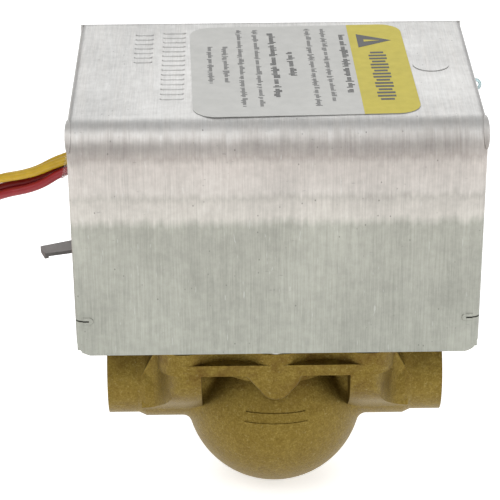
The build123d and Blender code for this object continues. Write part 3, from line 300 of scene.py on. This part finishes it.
MATS = {
    "cover_aluminium": aluminium(),
    "brass_casting": cast_brass(),
    "black_rubber": moulded("black_rubber", (0.012, 0.012, 0.012), (0.03, 0.03, 0.03), 0.6),
    "ball_rubber": moulded("ball_rubber", (0.015, 0.015, 0.016), (0.035, 0.034, 0.033), 0.5),
    "steel_screws": plated("steel_screws", (0.42, 0.42, 0.40), (0.60, 0.60, 0.57)),
    "stainless": plated("stainless", (0.50, 0.50, 0.50), (0.66, 0.66, 0.65), 300, (0.05, 0.05, 1)),
    "spring_steel": plated("spring_steel", (0.34, 0.34, 0.35), (0.52, 0.52, 0.53)),
    "chassis_sheet": plated("chassis_sheet", (0.50, 0.51, 0.51), (0.63, 0.64, 0.63), 160, (1, 0.1, 0.1),
                            0.36),
    "bracket_sheet": plated("bracket_sheet", (0.46, 0.47, 0.48), (0.60, 0.60, 0.61), 160, (0.1, 1, 0.1),
                            0.34),
    "motor_shell": plated("motor_shell", (0.42, 0.43, 0.44), (0.58, 0.59, 0.60), 200, (1, 1, 0.05), 0.30),
    "gear_steel": plated("gear_steel", (0.36, 0.36, 0.37), (0.52, 0.52, 0.52), 260),
    "sector_steel": plated("sector_steel", (0.38, 0.38, 0.38), (0.54, 0.54, 0.53), 180, (1, 0.1, 1)),
    "lever_steel": plated("lever_steel", (0.085, 0.078, 0.074), (0.165, 0.154, 0.147), 240, (1, 0.2, 1),
                          0.42),
    "coil_wrap": moulded("coil_wrap", (0.02, 0.02, 0.022), (0.05, 0.05, 0.055), 0.5),
    "magnet": moulded("magnet", (0.03, 0.03, 0.032), (0.06, 0.06, 0.062), 0.55),
    "white_nylon": moulded("white_nylon", (0.72, 0.70, 0.62), (0.82, 0.80, 0.74), 0.4),
    "switch_case": moulded("switch_case", (0.012, 0.012, 0.013), (0.028, 0.028, 0.03), 0.4),
    "terminal_brass": plated("terminal_brass", (0.60, 0.42, 0.16), (0.74, 0.56, 0.26)),
    "label_film": moulded("label_film", (0.375, 0.375, 0.36), (0.44, 0.438, 0.42), 0.42, 260, 0.000006,
                          metallic=0.5, Specular_IOR_Level=0.3),
    "yellow_wire": moulded("yellow_wire", (0.47, 0.285, 0.003), (0.60, 0.385, 0.007), 0.34, 500, 0.00001),
    "red_wire": moulded("red_wire", (0.235, 0.006, 0.010), (0.34, 0.011, 0.016), 0.34, 500, 0.00001),
    "clear_nylon": moulded("clear_nylon", (0.78, 0.79, 0.78), (0.88, 0.89, 0.88), 0.24, 600, 0.00001,
                           Transmission_Weight=0.55, IOR=1.5),
    "bushing_nylon": moulded("bushing_nylon", (0.93, 0.93, 0.92), (0.98, 0.98, 0.97), 0.10, 600, 0.000004,
                             Transmission_Weight=0.96, IOR=1.2),
    "loop_nylon": moulded("loop_nylon", (0.50, 0.66, 0.68), (0.62, 0.78, 0.80), 0.2, 600, 0.00001,
                          Transmission_Weight=0.5, IOR=1.5),
    "label_yellow": moulded("label_yellow", (0.50, 0.42, 0.040), (0.60, 0.51, 0.065), 0.45, 300, 0.000005,
                            Specular_IOR_Level=0.2),
    "label_ink": moulded("label_ink", (0.10, 0.10, 0.10), (0.18, 0.18, 0.175), 0.45, 900, 0.000004),
    "label_black": moulded("label_black", (0.012, 0.012, 0.012), (0.03, 0.03, 0.03), 0.42, 900, 0.000004),
    "copper": plated("copper", (0.62, 0.26, 0.12), (0.76, 0.38, 0.20)),
}
for row in frame["record"]["subparts"]:
    node = NODES[row["node"]]
    node.data.materials.clear()
    node.data.materials.append(MATS[row["material_slot"]])
# the loop is bluer and the bushing clearer than the nylon of their slot
NODES["nylon_loop"].data.materials[0] = MATS["loop_nylon"]
NODES["lead_bushing"].data.materials[0] = MATS["bushing_nylon"]


# ---------------------------------------------------------------- piece helpers
def mesh_piece(name, verts, faces, material, body, smooth=False):
    data = bpy.data.meshes.new(name)
    data.from_pydata([tuple(v) for v in verts], [], faces)
    data.validate()
    data.materials.append(MATS[material])
    for polygon in data.polygons:
        polygon.use_smooth = smooth
    piece = bpy.data.objects.new(name, data)
    bpy.context.scene.collection.objects.link(piece)
    if body:
        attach(piece, body)
    return piece


def sweep(centres, radius, sides=10):
    """Vertices and faces of a round wire along the points, with flat ends."""
    verts, faces, count = [], [], len(centres)
    side = None
    for k, here in enumerate(centres):
        before = centres[k - 1] if k else here
        after = centres[k + 1] if k < count - 1 else here
        along = (after - before).normalized()
        if side is None:
            side = along.orthogonal().normalized()
        side = (side - along * side.dot(along)).normalized()
        other = along.cross(side)
        for s in range(sides):
            a = 2 * math.pi * s / sides
            verts.append(here + radius * (math.cos(a) * side + math.sin(a) * other))
    for k in range(count - 1):
        for s in range(sides):
            a, b = k * sides + s, k * sides + (s + 1) % sides
            faces.append((a, b, b + sides, a + sides))
    faces += [tuple(range(sides))[::-1], tuple((count - 1) * sides + s for s in range(sides))]
    return verts, faces


# ---------------------------------------------------------------- leads
LEAD_DIAMETER, LEAD_LENGTH = 0.0025, 0.457
TIP_LENGTH, TIP_R = 0.006, 0.0006        # bare copper at the free end
# the bundle's middle line in metres, and which way its outer side faces there, in degrees from +X to +Z
BUNDLE = [((-0.0026, 0.006, 0.0633), 104.0), ((-0.011, 0.006, 0.0612), 112.0),
          ((-0.019, 0.0062, 0.0567), 111.0), ((-0.0305, 0.0075, 0.0546), 117.0),
          ((-0.0395, 0.0125, 0.046), 155.0), ((-0.0405, 0.0175, 0.031), 186.0),
          ((-0.0358, 0.020, 0.0157), 180.0)]
LEAD_PLACES = {   # off the middle line, in metres towards +Y and towards the bundle's outer side
    "yellow_lead_front": [(-0.00135, 0.00135), (-0.00135, 0.00135), (-0.00135, 0.0019), (-0.0014, 0.0022),
                          (-0.0015, 0.0017), (-0.001, 0.0014), (-0.00135, 0.0)],
    "yellow_lead_back": [(0.00135, 0.00135), (0.00135, 0.00135), (0.00135, 0.001), (0.0014, 0.0009),
                         (0.0018, 0.0015), (0.003, 0.0012), (0.00405, 0.0)],
    "red_lead_front": [(-0.00135, -0.00135), (-0.00135, -0.00135), (-0.0014, -0.0024), (-0.0016, -0.0029),
                       (-0.0019, -0.0018), (-0.0031, -0.0011), (-0.00405, 0.0)],
    "red_lead_back": [(0.00135, -0.00135), (0.00135, -0.00135), (0.0014, -0.00175), (0.0014, -0.0019),
                      (0.0012, -0.0016), (0.0011, -0.0015), (0.00135, 0.0)],
}
COIL_CENTRE, COIL_START_R, COIL_END_R = (-0.0555, 0.020, 0.010), 0.0207, 0.0102
COIL_TURNS, TURN_POINTS, COIL_START = 4.05, 16, math.radians(16)


def lead_route(name):
    """Route points from the bushing along the bundle, then inwards round the coil in the lead's own layer."""
    points = []
    for ((x, y, z), facing), (side, out) in zip(BUNDLE, LEAD_PLACES[name]):
        a = math.radians(facing)
        points.append(Vector((x + out * math.cos(a), y + side, z + out * math.sin(a))))
    layer = points[-1].y
    steps = int(COIL_TURNS * TURN_POINTS)
    for k in range(1, steps + 1):
        a = COIL_START - 2 * math.pi * k / TURN_POINTS
        r = COIL_START_R + (COIL_END_R - COIL_START_R) * k / steps
        points.append(Vector((COIL_CENTRE[0] + r * math.cos(a), layer, COIL_CENTRE[2] + r * math.sin(a))))
    return points


def make_lead(name, slot):
    points = lead_route(name)
    data = bpy.data.curves.new(name + "_line", "CURVE")
    data.dimensions, data.bevel_depth, data.bevel_resolution = "3D", LEAD_DIAMETER / 2, 5
    data.resolution_u, data.use_fill_caps = 6, True
    spline = data.splines.new("NURBS")
    spline.points.add(len(points) - 1)
    for place, p in zip(spline.points, points):
        place.co = (*p, 1.0)
    spline.order_u = 3
    spline.use_endpoint_u = True
    data.materials.append(MATS[slot])
    lead = bpy.data.objects.new(name + "_line", data)
    bpy.context.scene.collection.objects.link(lead)
    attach(lead, "valve")
    along = (points[-1] - points[-2]).normalized()
    tip_line = [points[-1] + share * TIP_LENGTH * along for share in (0.0, 0.5, 1.0)]
    tip = mesh_piece(name + "_tip", *sweep(tip_line, TIP_R), "copper", "valve", True)
    covered = [name, "lead_coil"] if name == "yellow_lead_front" else [name]
    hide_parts(*covered)


for lead_name in LEAD_PLACES:
    make_lead(lead_name, "yellow_wire" if lead_name.startswith("yellow") else "red_wire")


# ---------------------------------------------------------------- return spring
SPRING_LEAD_IN, SPRING_WIRE_R, SPRING_COIL_R = 0.007, 0.0004, 0.0021
SPRING_PITCH = 1.03                      # in wire widths
POST_EYE_R, ANCHOR_EYE_R, EYE_POINTS, EYE_GAP, SPRING_TURN_POINTS = 0.0027, 0.0023, 25, 0.15, 14


def return_spring():
    """Close-wound wire between the drive post and its anchor."""
    post_low, post_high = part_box("drive_post")
    anchor_low, anchor_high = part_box("spring_anchor")
    low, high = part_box("return_spring")
    z = (low.z + high.z) / 2
    post, anchor = (post_low + post_high) / 2, (anchor_low + anchor_high) / 2
    post.z = anchor.z = z
    along = (anchor - post).normalized()
    side, up = Vector((0, 0, 1)).cross(along), Vector((0, 0, 1))
    length, lead_in = (anchor - post).length, SPRING_LEAD_IN
    turns = int((length - 2 * lead_in) / (2 * SPRING_WIRE_R * SPRING_PITCH))
    steps = turns * SPRING_TURN_POINTS
    points = []
    for k in range(EYE_POINTS):           # eye round the drive post
        a = math.pi * 2 * k / EYE_POINTS + EYE_GAP
        points.append(post + POST_EYE_R * (math.cos(a) * along + math.sin(a) * side))
    for k in range(steps + 1):
        a = 2 * math.pi * k / SPRING_TURN_POINTS
        at = lead_in + (length - 2 * lead_in) * k / steps
        points.append(post + along * at + SPRING_COIL_R * (math.cos(a) * up + math.sin(a) * side))
    for k in range(EYE_POINTS):           # eye round the anchor
        a = math.pi - EYE_GAP - math.pi * 2 * k / EYE_POINTS
        points.append(anchor + ANCHOR_EYE_R * (math.cos(a) * along + math.sin(a) * side))
    piece = mesh_piece("return_spring_wire", *sweep(points, SPRING_WIRE_R, 8), "spring_steel", None, True)
    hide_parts("return_spring")
    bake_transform(piece)


return_spring()


# ---------------------------------------------------------------- label print
LABEL_TURN = math.radians(1.4)           # the label is stuck on a little askew, as its node is
LABEL_HALF_X, LABEL_HALF_Y = 0.0295, 0.03205
BAND_DEPTH, BAND_IN, BAND_CORNER_R, CORNER_STEPS = 0.0150, 0.0001, 0.0059, 6
PRINT_THICK = 0.00003
PRINT_LIFT, PRINT_OVER, EYE_OVER = 0.00001, 0.00005, 0.00004     # above the film, over the band, over that
TRIANGLE_IN = (0.0082, 0.0125)           # the triangle's place from the label's corner
# the triangle and the yellow one in it: back to the base, half the base, and on to the tip
TRIANGLE, TRIANGLE_EYE = (0.0046, 0.0051, 0.0048), (0.0028, 0.0008, 0.0016)
BAR_START, BAR_PITCH, BAR_WIDTH, BAR_HALVES, BARS = 0.0085, 0.0022, 0.0012, (0.0018, 0.0024), 16
# rows of fine strokes, which run front to back: x, first and last y, and whether the row is heavy
ROWS = [(-0.0243, -0.0089, 0.0172, 0), (-0.0202, -0.0084, 0.0171, 0), (-0.0160, -0.0254, 0.0296, 0),
        (-0.0115, -0.0256, 0.0294, 0), (-0.0070, -0.0204, 0.0266, 1), (-0.0024, -0.0047, 0.0121, 1),
        (0.0032, -0.0262, 0.0296, 0), (0.0074, -0.0228, 0.0293, 0), (0.0124, -0.0176, 0.0245, 1)]
HEAVY_STROKE, FINE_STROKE = (0.00112, 0.00052, 0.00084), (0.00088, 0.00038, 0.00066)   # half, width, pitch
WORD_LENGTHS, WORD_GAP = (2, 4, 5, 7, 8, 10), 0.9
# how far a stroke reaches to each side of its row's middle, drawn as a share of the half above
LOW_ENDS, HIGH_ENDS = (0.55, 0.55, 0.55, 1.0), (0.45, 0.45, 0.45, 1.0)
ROW_SEED = 7


def box(x0, x1, y0, y1):
    return [(x0, y0), (x1, y0), (x1, y1), (x0, y1)]


def triangle(x, y, back, half, tip):
    return [(x - back, y - half), (x - back, y + half), (x + tip, y)]


def band_outline(x0, x1, half, r):
    """Square at x0, with rounded corners at x1."""
    points = []
    far = x0 - 2 * r
    corners = ((x1 - r, half - r, 0), (far + r, half - r, 90),
               (far + r, r - half, 180), (x1 - r, r - half, 270))
    for cx, cy, start in corners:
        for k in range(CORNER_STEPS + 1):
            a = math.radians(start + 90 * k / CORNER_STEPS)
            points.append((max(cx + r * math.cos(a), x0), cy + r * math.sin(a)))
    return points


def printed(name, outlines, z, material):
    """Flat ink shapes on the cover's label, turned with it about its middle."""
    low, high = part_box("cover_label")
    middle, c, t = (low + high) / 2, math.cos(LABEL_TURN), math.sin(LABEL_TURN)
    verts, faces = [], []
    for outline in outlines:
        n, first = len(outline), len(verts)
        turned = [(middle.x + c * x - t * y, middle.y + t * x + c * y) for x, y in outline]
        verts += [(x, y, z) for x, y in turned] + [(x, y, z + PRINT_THICK) for x, y in turned]
        faces += [tuple(first + k for k in range(n))[::-1], tuple(first + n + k for k in range(n))]
        faces += [(first + k, first + (k + 1) % n, first + n + (k + 1) % n, first + n + k) for k in range(n)]
    return mesh_piece(name, verts, faces, material, "cover")


def label_print():
    """Generic print: a plain warning triangle with bars on a yellow band, and rows of fine strokes."""
    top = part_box("cover_label")[1].z
    edge = LABEL_HALF_X - BAND_IN
    band = band_outline(LABEL_HALF_X - BAND_DEPTH, edge, LABEL_HALF_Y, BAND_CORNER_R)
    printed("label_caution_band", [band], top + PRINT_LIFT, "label_yellow")
    z = top + PRINT_OVER
    x, y = LABEL_HALF_X - TRIANGLE_IN[0], LABEL_HALF_Y - TRIANGLE_IN[1]
    printed("label_triangle", [triangle(x, y, *TRIANGLE)], z, "label_black")
    printed("label_triangle_eye", [triangle(x, y, *TRIANGLE_EYE)], z + EYE_OVER, "label_yellow")
    bars = []            # plain bars of two lengths in place of a word
    for k in range(BARS):
        bar_y, half = y - BAR_START - BAR_PITCH * k, BAR_HALVES[1 if k % 3 else 0]
        bars.append(box(x - half, x + half, bar_y - BAR_WIDTH, bar_y))
    printed("label_bars", bars, z, "label_black")
    thin, bold, draw = [], [], random.Random(ROW_SEED)
    for at, y0, y1, heavy in ROWS:
        half, width, pitch = HEAVY_STROKE if heavy else FINE_STROKE
        outlines, y = (bold if heavy else thin), y1
        while y > y0:
            for _ in range(draw.choice(WORD_LENGTHS)):
                x0 = at - half * draw.choice(LOW_ENDS)
                x1 = at + half * draw.choice(HIGH_ENDS)
                outlines.append(box(x0, x1, y - width, y))
                y -= pitch
                if y < y0:
                    break
            y -= pitch * WORD_GAP
    printed("label_rows", thin, top + PRINT_LIFT, "label_ink")
    printed("label_rows_heavy", bold, top + PRINT_LIFT, "label_black")


label_print()


# ---------------------------------------------------------------- floor and light
FLOOR_REACH, FLOOR_GAP, FLOOR_GLOW, WORLD_STRENGTH = 4, 0.0002, 0.62, 0.55
LIGHTS = [   # name, place, what it is aimed at, sides, power
    ("key_light", (-0.35, -0.75, 1.15), (0.047, 0, 0.04), (0.9, 0.9), 5.5),
    ("fill_light", (0.75, -0.85, 0.55), (0.047, 0, 0.03), (0.8, 0.8), 2.2),
    ("back_light", (0.1, 0.95, 0.8), (0.047, 0, 0.06), (1.0, 0.6), 4.0),
]


def stage():
    """A white paper floor just under the valve, which glows a little so that it renders white."""
    z, reach = CAD_LOW.z - FLOOR_GAP, FLOOR_REACH
    data = bpy.data.meshes.new("floor")
    data.from_pydata([(-reach, -reach, z), (reach, -reach, z), (reach, reach, z), (-reach, reach, z)],
                     [], [(0, 1, 2, 3)])
    floor = bpy.data.objects.new("floor", data)
    bpy.context.scene.collection.objects.link(floor)
    pale = Shader("floor_paper", roughness=0.9, Emission_Strength=FLOOR_GLOW)
    paper = pale.ramp(pale.noise(3, 2), [(0.0, (0.955, 0.955, 0.955)), (1.0, (0.985, 0.985, 0.985))])
    pale.link(paper, "Base Color")
    pale.link(paper, "Emission Color")
    data.materials.append(pale.mat)


def area_light(name, place, aim, size, power):
    data = bpy.data.lights.new(name, "AREA")
    data.shape, data.size, data.size_y, data.energy = "RECTANGLE", size[0], size[1], power
    light = bpy.data.objects.new(name, data)
    light.location = place
    light.rotation_mode = "QUATERNION"
    light.rotation_quaternion = (Vector(aim) - Vector(place)).to_track_quat("-Z", "Y")
    bpy.context.scene.collection.objects.link(light)


stage()
for light in LIGHTS:
    area_light(*light)
world = bpy.data.worlds.new("studio")
world.use_nodes = True
world.node_tree.nodes["Background"].inputs["Color"].default_value = (1, 1, 1, 1)
world.node_tree.nodes["Background"].inputs["Strength"].default_value = WORLD_STRENGTH
bpy.context.scene.world = world
bpy.context.scene.view_settings.view_transform = "Standard"
